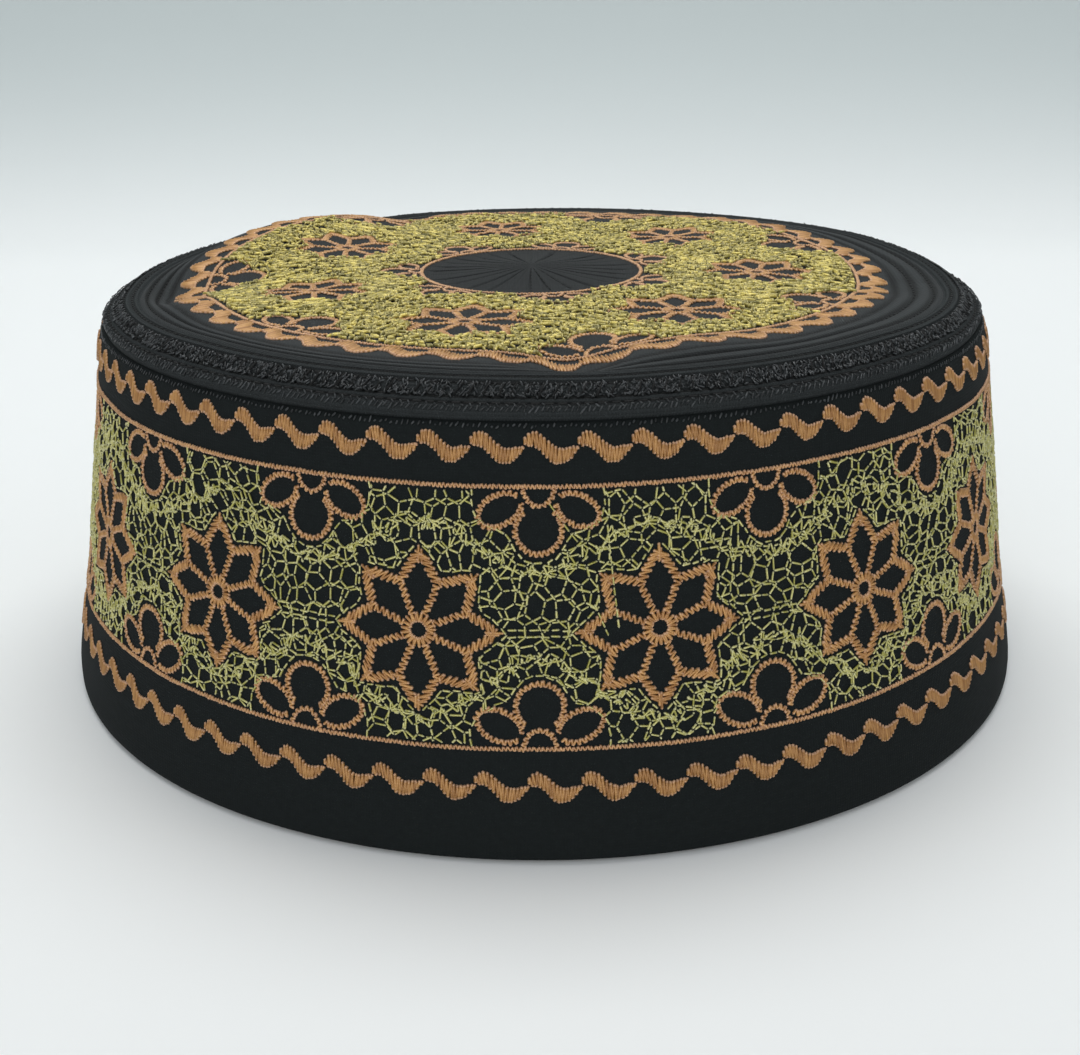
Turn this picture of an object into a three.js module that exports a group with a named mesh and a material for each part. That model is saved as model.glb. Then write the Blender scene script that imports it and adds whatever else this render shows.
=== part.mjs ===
import * as THREE from 'three';

// A round cap of stiffened black cloth that stands on its rim: a tapering side band, a quilted strip round
// the shoulder and a flat crown. Millimetres, +Z up, origin in the middle of the rim's resting plane.
// Angles run from the front, -Y, towards +X.

// Driving dimensions
const rimRadius = 95;
const shoulderRadius = 84.1;
const shoulderHeight = 69.5;
const stripWidth = 7.1;
const stripRise = 5.5;
const wall = 2.6;
const seamGap = 0.3;

// Sewn relief
const ridgeLift = 0.5;
const crownSag = 0.4;
const crownShift = -2;
const dentLift = 2.4;
const pleatCount = 28;
const pleatDepth = 0.35;
const pleatedRadius = 20.8;
const quiltRadii = [70, 72.7, 75.4];
const quiltHalfWidth = 0.8;
const quiltDepth = 0.4;

// Facets round the cap: three to each pleat, so that every pleat has its own valley line.
const facetsPerPleat = 3;
const facets = pleatCount * facetsPerPleat;

// The side band's outline. up is a share of the shoulder's height, out a share of the way from the
// shoulder's radius to the rim's.
const bandOutline = [
  { up: 1, out: 0 },
  { up: 0.964, out: 0.083 },
  { up: 0.892, out: 0.15 },
  { up: 0.791, out: 0.235 },
  { up: 0.647, out: 0.375 },
  { up: 0.504, out: 0.495 },
  { up: 0.36, out: 0.615 },
  { up: 0.216, out: 0.79 },
  { up: 0.115, out: 0.925 },
  { up: 0.043, out: 1 },
  { up: 0, out: 0.985 },
];

// The edge strip's outline, from the crown seam to the shoulder. out is a share of the way out to the
// shoulder's radius, down a share of the drop to its height, ridge a share of the stitched ridges' lift.
const stripOutline = [
  { out: 0, down: 0, ridge: 0 },
  { out: 0.16, down: 0.05, ridge: 0.6 },
  { out: 0.34, down: 0.15, ridge: 1 },
  { out: 0.5, down: 0.26, ridge: 0.6 },
  { out: 0.62, down: 0.38, ridge: 0 },
  { out: 0.74, down: 0.5, ridge: 0.5 },
  { out: 0.86, down: 0.66, ridge: 0.9 },
  { out: 0.95, down: 0.84, ridge: 0.5 },
  { out: 1, down: 1, ridge: 0 },
];

// Bulges and dents of the crown. reach is the distance from the middle, along and across the half widths
// round the cap and outwards, all as shares of the crown's radius; lift is a share of dentLift, and edge the
// share of it that the seam follows too.
const crownDents = [
  { name: 'left crease', angle: -83, reach: 0.92, along: 0.12, across: 0.2, lift: -1.1, edge: 0 },
  { name: 'crest by the left crease', angle: -65, reach: 0.88, along: 0.09, across: 0.18, lift: 0.3, edge: 0 },
  { name: 'bulge at the back left', angle: -128, reach: 0.86, along: 0.27, across: 0.17, lift: 1.3, edge: 0 },
  { name: 'notch beside the bulge', angle: -154, reach: 0.92, along: 0.075, across: 0.2, lift: -0.65, edge: 0 },
  { name: 'dip at the front', angle: 5.5, reach: 0.91, along: 0.065, across: 0.12, lift: -0.85, edge: 0.1 },
  { name: 'bump beside the front dip', angle: 23, reach: 0.9, along: 0.11, across: 0.12, lift: 0.46, edge: 0 },
  { name: 'bulge at the back right', angle: 131, reach: 0.9, along: 0.2, across: 0.18, lift: 0.46, edge: 0 },
  { name: 'right crease', angle: 80, reach: 0.88, along: 0.1, across: 0.2, lift: -0.5, edge: 0 },
  { name: 'gathered middle', angle: 0, reach: 0, along: 0.11, across: 0.11, lift: 0.45, edge: 0 },
];

// How far the crown hangs down at its seam, in millimetres by the angle, and the share of the crown's radius
// from which it starts to.
const seamDrops = [
  { angle: -180, drop: 1.3 },
  { angle: -157, drop: 1.3 },
  { angle: -143, drop: 1.9 },
  { angle: -125, drop: 1 },
  { angle: -100, drop: 1.3 },
  { angle: -85, drop: 1.7 },
  { angle: -45, drop: 0 },
  { angle: 45, drop: 0 },
  { angle: 85, drop: 2 },
  { angle: 100, drop: 1.3 },
  { angle: 118, drop: 0.5 },
  { angle: 150, drop: 1.1 },
  { angle: 180, drop: 1.3 },
];
const dropStartShare = 0.84;

// Rings across the crown, as shares of its radius. The pleats run out to pleatedRadius.
const fieldRings = [0.42, 0.51, 0.6, 0.69, 0.78, 0.84, 0.88];
const pleatRings = [0.3, 0.65, 1];
const undersideRings = [1, 0.95, 0.9, 0.82, 0.7, 0.55, 0.4, 0.25, 0.1, 0];
const edgeFadeShare = 0.9;

const crownRadius = shoulderRadius - stripWidth;
const crownHeight = shoulderHeight + stripRise;
const halfGap = seamGap / 2;
const crownEdge = crownRadius - halfGap;

function smoothStep(from, to, value) {
  const share = Math.min(1, Math.max(0, (value - from) / (to - from)));
  return share * share * (3 - 2 * share);
}

// A closed body swept round the cap's axis. The section is a list of { radius, height, shift }, where height
// is a number or a function of the angle and the facet's index, and shift moves the ring sideways. It runs
// out over the top, down the outside and back underneath. A section that starts and ends on the axis gets
// one vertex at each pole, any other section closes on itself.
function sweepRound(section) {
  const positions = [];
  const rows = section.map(({ radius, height, shift = 0 }) => {
    const count = radius === 0 ? 1 : facets;
    const row = [];
    for (let index = 0; index < count; index += 1) {
      const angle = (index / facets) * 2 * Math.PI;
      const z = typeof height === 'function' ? height(angle, index) : height;
      row.push(positions.length / 3);
      positions.push(radius * Math.sin(angle) + shift, -radius * Math.cos(angle), z);
    }
    return row;
  });
  const closed = section[0].radius !== 0;
  const indices = [];
  const spans = closed ? rows.length : rows.length - 1;
  for (let span = 0; span < spans; span += 1) {
    const near = rows[span];
    const far = rows[(span + 1) % rows.length];
    for (let index = 0; index < facets; index += 1) {
      const next = (index + 1) % facets;
      if (far.length > 1) indices.push(near[index % near.length], far[index], far[next]);
      if (near.length > 1) indices.push(near[index], far[next % far.length], near[next]);
    }
  }
  const geometry = new THREE.BufferGeometry();
  geometry.setAttribute('position', new THREE.Float32BufferAttribute(positions, 3));
  geometry.setIndex(indices);
  geometry.computeVertexNormals();
  return geometry;
}

function sideBand() {
  const top = shoulderHeight - halfGap;
  const outside = bandOutline.map(({ up, out }) => ({
    radius: shoulderRadius + out * (rimRadius - shoulderRadius),
    height: up * top,
  }));
  const inside = outside
    .filter((point, index) => index % 2 === 0)
    .map(({ radius, height }) => ({ radius: radius - wall, height }))
    .reverse();
  return sweepRound([...outside, ...inside]);
}

function edgeStrip() {
  const innerRadius = crownRadius + halfGap;
  const top = crownHeight;
  const bottom = shoulderHeight + halfGap;
  const run = shoulderRadius - innerRadius;
  const drop = top - bottom;
  const slope = Math.hypot(run, drop);
  const withSeam = (height, down) => (angle) => height + (1 - down) * crownLift(crownRadius, angle);
  const outside = stripOutline.map(({ out, down, ridge }) => ({
    radius: innerRadius + out * run + ridge * ridgeLift * (drop / slope),
    height: withSeam(top - down * drop + ridge * ridgeLift * (run / slope), down),
  }));
  const inside = stripOutline
    .filter((point, index) => index % 2 === 0)
    .map(({ out, down }) => ({
      radius: innerRadius + out * (run - wall),
      height: withSeam(top - wall - down * (drop - wall), down),
    }))
    .reverse();
  return sweepRound([...outside, ...inside]);
}

// 1 over the crown's field, falling to 0 at its seam.
function edgeFade(radius) {
  return 1 - smoothStep(edgeFadeShare, 1, radius / crownRadius);
}

// How far the crown hangs down at its seam at one angle, between the rows of seamDrops.
function seamDrop(angle) {
  const degrees = THREE.MathUtils.radToDeg(Math.atan2(Math.sin(angle), Math.cos(angle)));
  const next = Math.max(1, seamDrops.findIndex((row) => row.angle >= degrees));
  const from = seamDrops[next - 1];
  const to = seamDrops[next];
  return THREE.MathUtils.mapLinear(degrees, from.angle, to.angle, from.drop, to.drop);
}

// How far the crown's cloth lies above or below the height of its seam.
function crownLift(radius, angle) {
  const fade = edgeFade(radius);
  let lift = -crownSag * fade - seamDrop(angle) * smoothStep(dropStartShare, 1, radius / crownRadius);
  for (const dent of crownDents) {
    const middle = THREE.MathUtils.degToRad(dent.angle);
    const reach = dent.reach * crownRadius;
    const outwards = (radius * Math.cos(angle - middle) - reach) / (dent.across * crownRadius);
    const round = (radius * Math.sin(angle - middle)) / (dent.along * crownRadius);
    const share = dent.edge + (1 - dent.edge) * fade;
    lift += dentLift * dent.lift * share * Math.exp(-(outwards * outwards + round * round) / 2);
  }
  return lift;
}

// One ring of the crown's cloth, so far below its upper face.
function crownRing(radius, depthAt) {
  return {
    radius,
    height: (angle, index) => crownHeight + crownLift(radius, angle) - depthAt(index),
    shift: crownShift * edgeFade(radius),
  };
}

function crownTop() {
  const level = () => 0;
  const valley = (index) => (index % facetsPerPleat === 0 ? pleatDepth : 0);
  const pleated = pleatRings.map((share) => crownRing(share * pleatedRadius, valley));
  const field = fieldRings.map((share) => crownRing(share * crownRadius, level));
  const quilted = quiltRadii.flatMap((groove) => [
    crownRing(groove - quiltHalfWidth, level),
    crownRing(groove, () => quiltDepth),
    crownRing(groove + quiltHalfWidth, level),
  ]);
  const underside = undersideRings.map((share) => crownRing(share * crownEdge, () => wall));
  return sweepRound([
    crownRing(0, level),
    ...pleated,
    ...field,
    ...quilted,
    crownRing(crownEdge, level),
    ...underside,
  ]);
}

function cloth(colour, roughness) {
  return new THREE.MeshStandardMaterial({ color: colour, roughness, metalness: 0 });
}

function piece(name, geometry, material) {
  const mesh = new THREE.Mesh(geometry, material);
  mesh.name = name;
  return mesh;
}

const cap = new THREE.Group();
cap.add(piece('side_band', sideBand(), cloth('#1b2022', 0.85)));
cap.add(piece('edge_strip', edgeStrip(), cloth('#1e2123', 0.7)));
cap.add(piece('crown_top', crownTop(), cloth('#22272a', 0.8)));

export default cap;
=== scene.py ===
"""An embroidered round cap of black cloth that stands on its rim, with its stitches as real threads."""
import math

import bpy
import numpy as np
from mathutils import Matrix, Vector, geometry


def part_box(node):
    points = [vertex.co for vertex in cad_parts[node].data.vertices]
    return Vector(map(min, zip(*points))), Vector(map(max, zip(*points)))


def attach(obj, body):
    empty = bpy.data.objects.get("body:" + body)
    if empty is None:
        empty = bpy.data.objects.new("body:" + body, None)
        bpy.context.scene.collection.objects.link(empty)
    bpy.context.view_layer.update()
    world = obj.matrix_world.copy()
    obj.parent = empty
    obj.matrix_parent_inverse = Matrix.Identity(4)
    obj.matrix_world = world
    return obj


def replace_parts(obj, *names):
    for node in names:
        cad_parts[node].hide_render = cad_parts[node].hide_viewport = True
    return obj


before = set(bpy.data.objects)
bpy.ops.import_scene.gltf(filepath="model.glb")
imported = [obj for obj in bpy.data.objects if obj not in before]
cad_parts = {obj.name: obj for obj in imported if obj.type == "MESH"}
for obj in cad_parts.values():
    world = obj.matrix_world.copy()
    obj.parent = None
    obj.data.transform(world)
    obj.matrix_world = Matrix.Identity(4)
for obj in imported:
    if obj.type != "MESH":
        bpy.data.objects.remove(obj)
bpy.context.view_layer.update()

# Lengths are in millimetres. Angles run from the front, -Y, towards +X.
MM = 0.001
TURN = 2 * math.pi

# The cap, as the solids have it
WALL = 2.6
STRIP_WIDTH = 7.1
STRIP_RISE = 5.5
SHOULDER_RADIUS = 84.1
SHOULDER_HEIGHT = 69.5
RIM_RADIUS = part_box("side_band")[1].x / MM
CROWN_RADIUS = SHOULDER_RADIUS - STRIP_WIDTH
CROWN_HEIGHT = SHOULDER_HEIGHT + STRIP_RISE
CROWN_SAG = 0.4
CROWN_SHIFT = -2.0
EDGE_FADE_SHARE = 0.9
DENT_LIFT = 2.4
RIDGE_LIFT = 0.5
PLEAT_COUNT = 28
PLEAT_DEPTH = 0.35
PLEATED_RADIUS = 20.8
QUILT_RADII = (75.4, 72.7, 70.0)
QUILT_DEPTH = 0.5
STRIP_GROOVES = (0.28, 0.405, 0.665, 0.85)
STRIP_GROOVE_DEPTH = 0.3

# The side band's outline: share of the shoulder's height, share of the way out to the rim's radius.
BAND_OUTLINE = (
    (0, 0.985), (0.043, 1), (0.115, 0.925), (0.216, 0.79), (0.36, 0.615), (0.504, 0.495),
    (0.647, 0.375), (0.791, 0.235), (0.892, 0.15), (0.964, 0.083), (1, 0),
)

# The edge strip's outline from the shoulder up to the crown seam: share of the way out from the seam,
# share of the drop from it, share of the ridges' lift.
STRIP_OUTLINE = (
    (1, 1, 0), (0.95, 0.84, 0.5), (0.86, 0.66, 0.9), (0.74, 0.5, 0.5), (0.62, 0.38, 0),
    (0.5, 0.26, 0.6), (0.34, 0.15, 1), (0.16, 0.05, 0.6), (0, 0, 0),
)

# Bulges and dents of the crown: angle, then their centre's way out and half widths round the cap and
# outwards as shares of the crown's radius, lift as a share of DENT_LIFT, and the seam's share of it.
CROWN_DENTS = (
    (-83, 0.92, 0.12, 0.2, -1.1, 0),
    (-65, 0.88, 0.09, 0.18, 0.3, 0),
    (-128, 0.86, 0.27, 0.17, 1.3, 0),
    (-154, 0.92, 0.075, 0.2, -0.65, 0),
    (5.5, 0.91, 0.065, 0.12, -0.85, 0.1),
    (23, 0.9, 0.11, 0.12, 0.46, 0),
    (131, 0.9, 0.2, 0.18, 0.46, 0),
    (80, 0.88, 0.1, 0.2, -0.5, 0),
    (0, 0, 0.11, 0.11, 0.45, 0),
)

# How far the crown hangs down at its seam: angles, and the drops in millimetres
SEAM_ANGLES = (-180, -157, -143, -125, -100, -85, -45, 45, 85, 100, 118, 150, 180)
SEAM_DROPS = (1.3, 1.3, 1.9, 1.0, 1.3, 1.7, 0, 0, 2.0, 1.3, 0.5, 1.1, 1.3)
DROP_START_SHARE = 0.84

# The embroidery on the band. Its pattern plane is u, the way round at PATTERN_RADIUS, and the height.
PATTERN_RADIUS = 89.0
STAR_COUNT = 15
STAR_HEIGHT = 37.25
LOWER_LINE = 18.8
UPPER_LINE = 59.8
LOWER_WAVES = {"height": 12.75, "count": 70, "first": -17.0}
UPPER_WAVES = {"height": 65.65, "count": 66, "first": -12.7}
UPPER_FLOWER_SIZE = 0.98
BAND_SHIFT = -0.75
PERIOD = TURN * PATTERN_RADIUS / STAR_COUNT

# The embroidery on the crown
CROWN_STAR_REACH = 44.0
CROWN_STARS = ((-14.8, 0.99), (36, 1.0), (86.8, 0.9), (138, 0.87), (-170.5, 0.87), (-119, 0.9), (-67, 0.9))
CROWN_FLOWERS = (10.6, 61.4, 112.4, 164, -144.6, -90, -41)
CROWN_WAVES = {"radius": 66.0, "count": 50, "first": 0.0, "swell": 0.4}
OUTER_RING = 63.2
INNER_RING = 21.5
INNER_FLOWER_SIZE = 0.72

# Threads: their width, how high they stand off the cloth, and how far they lie over each other
SATIN_THREAD = (0.58, 0.3, 0.1)
LINE_THREAD = (0.46, 0.3, 0.1)
BAND_NET_THREAD = (0.4, 0.24, 0.22)
CROWN_NET_THREAD = (0.46, 0.46, 0.5)
STRIP_THREAD = (0.27, 0.2, 0.22)
OVERLOCK_THREAD = (0.42, 0.36, 0.1)
SEAM_THREAD = (0.34, 0.12, 0.1)
QUILTING_THREAD = (0.5, 0.16, 0.04)
PLEAT_THREAD = (0.34, 0.1, 0.02)
YARN_TURN = 0.15

# Stitches
SATIN_PITCH = 0.43
LINE_PITCH = 0.33
FILL_PITCH = 0.27
LINE_WIDTH = 0.85
LONGEST_DASH = 2.3


def smooth_step(low, high, value):
    share = np.clip((value - low) / (high - low), 0, 1)
    return share * share * (3 - 2 * share)


def rounded(values, reach):
    """A row of values with its corners rounded over that many neighbours on each side."""
    padded = np.pad(values, reach, mode="reflect", reflect_type="odd")
    kernel = np.hanning(2 * reach + 3)[1:-1]
    return np.convolve(padded, kernel / kernel.sum(), mode="valid")


# The side band's surface

BAND_HEIGHTS = np.linspace(0, SHOULDER_HEIGHT, 279)
BAND_OUT = np.interp(BAND_HEIGHTS / SHOULDER_HEIGHT, *np.array(BAND_OUTLINE).T)
BAND_RADII = rounded(SHOULDER_RADIUS + BAND_OUT * (RIM_RADIUS - SHOULDER_RADIUS), 9)
BAND_SLOPES = np.gradient(BAND_RADII, BAND_HEIGHTS)


def band_waver(angle, height):
    """The hand-made unevenness of the wall, fading out at its two seams."""
    fade = smooth_step(0, 6, height) * (1 - smooth_step(62, SHOULDER_HEIGHT, height))
    long_waves = 0.2 * np.sin(3 * angle + 0.05 * height + 0.6) + 0.14 * np.sin(7 * angle - 0.09 * height)
    short_waves = 0.05 * np.sin(19 * angle + 0.21 * height) + 0.04 * np.sin(31 * angle - 0.3 * height)
    return fade * (long_waves + short_waves)


def on_band(points, lift=0.0):
    """Where points of the band's pattern plane lie, so far off the cloth."""
    angle = points[..., 0] / PATTERN_RADIUS
    height = points[..., 1]
    slope = np.interp(height, BAND_HEIGHTS, BAND_SLOPES)
    steep = 1 / np.sqrt(1 + slope * slope)
    radius = np.interp(height, BAND_HEIGHTS, BAND_RADII) + band_waver(angle, height) + lift * steep
    return np.stack((radius * np.sin(angle), -radius * np.cos(angle), height - lift * slope * steep), -1)


# The crown's surface

def plan_points(angle, radius):
    """Points of the plan, at angles from the front and so far from the middle."""
    return np.stack((radius * np.sin(angle), -radius * np.cos(angle)), -1)


def edge_fade(radius):
    """1 over the crown's field, falling to 0 at its seam."""
    return 1 - smooth_step(EDGE_FADE_SHARE, 1, radius / CROWN_RADIUS)


def crown_lift(x, y):
    """How far the crown's cloth lies above or below the height of its seam."""
    reach = np.hypot(x, y)
    fade = edge_fade(reach)
    drop = np.interp(np.degrees(np.arctan2(x, -y)), SEAM_ANGLES, SEAM_DROPS)
    lift = -CROWN_SAG * fade - drop * smooth_step(DROP_START_SHARE, 1, reach / CROWN_RADIUS)
    for degrees, centre, along, across, share, seam in CROWN_DENTS:
        middle = math.radians(degrees)
        outwards = (x * math.sin(middle) - y * math.cos(middle)) / CROWN_RADIUS - centre
        sideways = (x * math.cos(middle) + y * math.sin(middle)) / CROWN_RADIUS
        bell = np.exp(-((outwards / across) ** 2 + (sideways / along) ** 2) / 2)
        lift = lift + DENT_LIFT * share * bell * (seam + (1 - seam) * fade)
    return lift


def on_crown(points, lift=0.0):
    """Where points of the crown's pattern plane lie, so far off the cloth."""
    x, y = points[..., 0], points[..., 1]
    step = 0.2
    east = (crown_lift(x + step, y) - crown_lift(x - step, y)) / (2 * step)
    north = (crown_lift(x, y + step) - crown_lift(x, y - step)) / (2 * step)
    steep = lift / np.sqrt(1 + east * east + north * north)
    shift = CROWN_SHIFT * edge_fade(np.hypot(x, y))
    height = CROWN_HEIGHT + crown_lift(x, y)
    return np.stack((x + shift - east * steep, y - north * steep, height + steep), -1)


def on_crown_ring(radius):
    """A placing for a pattern that runs round the crown: u along the ring, v inwards from it."""
    def place(points, lift=0.0):
        return on_crown(plan_points(points[..., 0] / radius, radius - points[..., 1]), lift)
    return place


# The edge strip's surface

STRIP_STEPS = np.linspace(0, 1, 241)
STRIP_KNOTS = np.linspace(0, 1, len(STRIP_OUTLINE))
STRIP_OUT, STRIP_DOWN, STRIP_RIDGE = (
    rounded(np.interp(STRIP_STEPS, STRIP_KNOTS, column), 12) for column in np.array(STRIP_OUTLINE).T
)
STRIP_RADII = CROWN_RADIUS + STRIP_OUT * STRIP_WIDTH
STRIP_HEIGHTS = CROWN_HEIGHT - STRIP_DOWN * STRIP_RISE
STRIP_ALONG = np.concatenate(
    ([0], np.cumsum(np.hypot(np.diff(STRIP_RADII), np.diff(STRIP_HEIGHTS))))
)
STRIP_LENGTH = STRIP_ALONG[-1]
STRIP_RADIUS = CROWN_RADIUS + STRIP_WIDTH / 2

# Along its outline: radius, height, share of the drop, ridge share and the normal's way out and up
STRIP_SECTION = (
    STRIP_RADII, STRIP_HEIGHTS, STRIP_DOWN, STRIP_RIDGE,
    np.gradient(STRIP_HEIGHTS, STRIP_ALONG), -np.gradient(STRIP_RADII, STRIP_ALONG),
)


def on_strip(points, lift=0.0):
    """Where points of the strip's pattern plane lie: u round the cap, v up from the shoulder."""
    angle = points[..., 0] / STRIP_RADIUS
    radius, height, down, ridge, out, up = (
        np.interp(points[..., 1], STRIP_ALONG, values) for values in STRIP_SECTION
    )
    off = lift + RIDGE_LIFT * ridge
    seam = crown_lift(CROWN_RADIUS * np.sin(angle), -CROWN_RADIUS * np.cos(angle))
    radius = radius + off * out
    height = height + off * up + (1 - down) * seam
    return np.stack((radius * np.sin(angle), -radius * np.cos(angle), height), -1)


# Meshes

def smooth_mesh(name, points, faces, material):
    """A smooth mesh in the scene, from points in millimetres and arrays of faces."""
    mesh = bpy.data.meshes.new(name)
    sizes = np.concatenate([np.full(len(group), group.shape[1]) for group in faces])
    corners = np.concatenate([group.ravel() for group in faces])
    mesh.vertices.add(len(points))
    mesh.vertices.foreach_set("co", (points * MM).ravel())
    mesh.loops.add(len(corners))
    mesh.loops.foreach_set("vertex_index", corners)
    mesh.polygons.add(len(sizes))
    mesh.polygons.foreach_set("loop_start", np.cumsum(sizes) - sizes)
    mesh.update(calc_edges=True)
    mesh.polygons.foreach_set("use_smooth", np.ones(len(sizes), bool))
    mesh.materials.append(material)
    thing = bpy.data.objects.new(name, mesh)
    bpy.context.scene.collection.objects.link(thing)
    return thing


def mesh_piece(name, points, faces, material):
    """A smooth mesh as a piece of the cap's one body."""
    piece = smooth_mesh(name, points, faces, material)
    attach(piece, "root")
    return piece


def swept_skin(name, rings, weave, material):
    """A closed skin over rings of points round the cap, which go up its outside and back inside.
    Rings of one point are its poles. Without poles the last ring meets the first. weave holds the
    cloth coordinates of each ring, with one column more than the ring has."""
    starts = np.cumsum([0] + [len(ring) for ring in rings])
    turn = np.arange(max(len(ring) for ring in rings) + 1)
    rows = [start + turn % len(ring) for start, ring in zip(starts, rings)]
    pairs = list(zip(range(len(rings) - 1), range(1, len(rings))))
    if len(rings[0]) > 1:
        pairs.append((len(rings) - 1, 0))
    faces, corners = [], []
    for near, far in pairs:
        keep = [0, 1, 2, 3]
        if len(rings[near]) == 1:
            keep = [0, 2, 3]
        elif len(rings[far]) == 1:
            keep = [0, 1, 2]
        for values, made in ((rows, faces), (weave, corners)):
            quad = (values[near][:-1], values[near][1:], values[far][1:], values[far][:-1])
            made.append(np.stack(quad, 1)[:, keep])
    piece = mesh_piece(name, np.concatenate(rings), faces, material)
    layer = piece.data.uv_layers.new(name="weave")
    layer.data.foreach_set("uv", np.concatenate([group.ravel() for group in corners]))
    return piece


# Stitches. A set of them is an array of stitch, end, x and y in a pattern plane.

rng = np.random.default_rng(28)

STITCH_TRIANGLES = np.array(((0, 2, 1), (0, 3, 2), (0, 1, 3), (7, 4, 5), (7, 5, 6), (7, 6, 4)))
STITCH_QUADS = np.array(((1, 2, 5, 4), (2, 3, 6, 5), (3, 1, 4, 6)))

# A strand's eight points: how far off the cloth they lie as shares of its height, and their turn
STRAND_LIFTS = np.array((-0.06, 0.02, 1, 0.02, 0.02, 1, 0.02, -0.06))
STRAND_TURNS = YARN_TURN * np.array((0, 1, 0, -1, 1, 0, -1, 0))
STRAND_WIDTHS = (0.86, 1.1)
LONGEST_TAPER = 0.2


def thread_piece(name, sets, sizes, place, material):
    """One mesh of every stitch in the sets: closed pointed strands of three sides, laid on the cloth or by
    chance a little higher. Its attribute holds the millimetres from both ends of the stitch, turned as
    the yarn is, and a tone."""
    width, height, layers = sizes
    stitches = np.concatenate(sets)
    count = len(stitches)
    start, end = stitches[:, 0], stitches[:, 1]
    length = np.maximum(np.hypot(*(end - start).T), 0.05)[:, None]
    ahead = (end - start) / length
    left = np.stack((-ahead[:, 1], ahead[:, 0]), 1)
    half = (width / 2 * rng.uniform(*STRAND_WIDTHS, count))[:, None]
    inset = np.minimum(0.25 * length, LONGEST_TAPER)
    points = np.empty((count, 8, 2))
    points[:, 0], points[:, 7] = start, end
    for first, middle in ((1, start + ahead * inset), (4, end - ahead * inset)):
        points[:, first] = middle + left * half
        points[:, first + 1] = middle
        points[:, first + 2] = middle - left * half
    lifts = rng.uniform(0, layers, count)[:, None] + STRAND_LIFTS * height
    offsets = np.arange(count)[:, None, None] * 8
    faces = [(STITCH_TRIANGLES + offsets).reshape(-1, 3), (STITCH_QUADS + offsets).reshape(-1, 4)]
    piece = mesh_piece(name, place(points, lifts).reshape(-1, 3), faces, material)
    along = np.hstack((0 * length, *(3 * [inset]), *(3 * [length - inset]), length))
    thread = np.empty((count, 8, 3))
    thread[..., 0] = along + STRAND_TURNS
    thread[..., 1] = length - along - STRAND_TURNS
    thread[..., 2] = rng.uniform(0, 1, count)[:, None]
    layer = piece.data.attributes.new("thread", "FLOAT_VECTOR", "POINT")
    layer.data.foreach_set("vector", thread.ravel())
    return piece


def sampled(path, count):
    """Points and headings at even steps along a path of points."""
    along = np.concatenate(([0], np.cumsum(np.hypot(*np.diff(path, axis=0).T))))
    steps = np.linspace(0, along[-1], count)
    points = np.stack([np.interp(steps, along, path[:, axis]) for axis in range(2)], 1)
    ahead = np.gradient(points, axis=0)
    return points, ahead / np.hypot(*ahead.T)[:, None]


def path_length(path):
    return np.hypot(*np.diff(path, axis=0).T).sum()


def satin(path, width, slant=0.0, pitch=SATIN_PITCH):
    """Satin stitches to and fro across a path. slant, in degrees or as a pair for the path's two ends,
    leans the stitches' left ends back and their right ends forward."""
    count = max(3, round(path_length(path) / pitch))
    points, ahead = sampled(path, count)
    left = np.stack((-ahead[:, 1], ahead[:, 0]), 1)
    lean = np.tan(np.radians(np.linspace(*np.broadcast_to(slant, 2), count)))[:, None]
    side = np.where(np.arange(count) % 2, 1, -1)[:, None]
    holes = points + side * width / 2 * (left - lean * ahead)
    return np.stack((holes[:-1], holes[1:]), 1)


def running(path, length=1.5, gap=0.15):
    """Running stitches along a path."""
    count = max(2, round(path_length(path) / (length + gap)) + 1)
    points, _ = sampled(path, count)
    ahead = np.diff(points, axis=0)
    trim = ahead * (gap / 2 / (length + gap))
    return np.stack((points[:-1] + trim, points[1:] - trim), 1)


def placed(stitches, scale=1.0, turn=0.0, to=(0, 0), flip=False):
    """A copy of stitches, scaled, turned by so many degrees and moved, after a flip of y if asked."""
    angle = math.radians(turn)
    points = stitches * scale * ((1, -1) if flip else (1, 1))
    x = points[..., 0] * math.cos(angle) - points[..., 1] * math.sin(angle)
    y = points[..., 0] * math.sin(angle) + points[..., 1] * math.cos(angle)
    return np.stack((x, y), -1) + to


def by_hand(stitches, amount=0.06):
    """Stitches with the small unevenness of needlework."""
    return stitches + rng.normal(0, amount, stitches.shape)


def around(radius, first, last, count=60):
    """Points of a circle between two angles in degrees, counted from the x axis."""
    angle = np.radians(np.linspace(first, last, count))
    return radius * np.stack((np.cos(angle), np.sin(angle)), 1)


# Motifs

STAR_TIP = 12.8
STAR_VALLEY = 8.0
STAR_STROKE = 1.65
SPOKE_STROKE = 1.35
HUB_RADIUS = 2.0
HUB_STROKE = 1.8

# The half flower stands on its base line at y = 0.
FLOWER_STROKE = 1.1
PETAL_HEIGHT = 6.75
PETAL_RADIUS = 3.7
SIDE_PETAL = {"x": 6.2, "y": 3.65, "long": 3.7, "short": 2.35, "tilt": 27.0}
BUD = {"wide": 2.5, "tall": 3.0}

# A wave motif: share of its length, then the heights of its upper and lower edge in millimetres
WAVE_EDGES = (
    (0, 0.95, 0.35), (0.05, 1.95, 0.1), (0.1, 2.3, 0.08), (0.18, 2.5, 0.05), (0.27, 2.3, -0.5),
    (0.35, 1.8, -1.15), (0.44, 1.05, -2.05), (0.53, 0.42, -2.48), (0.62, 0.05, -2.55),
    (0.74, 0.05, -2.4), (0.85, 0.25, -1.85), (0.93, 0.3, -1.05), (1, 0.3, -0.3),
)


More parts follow.
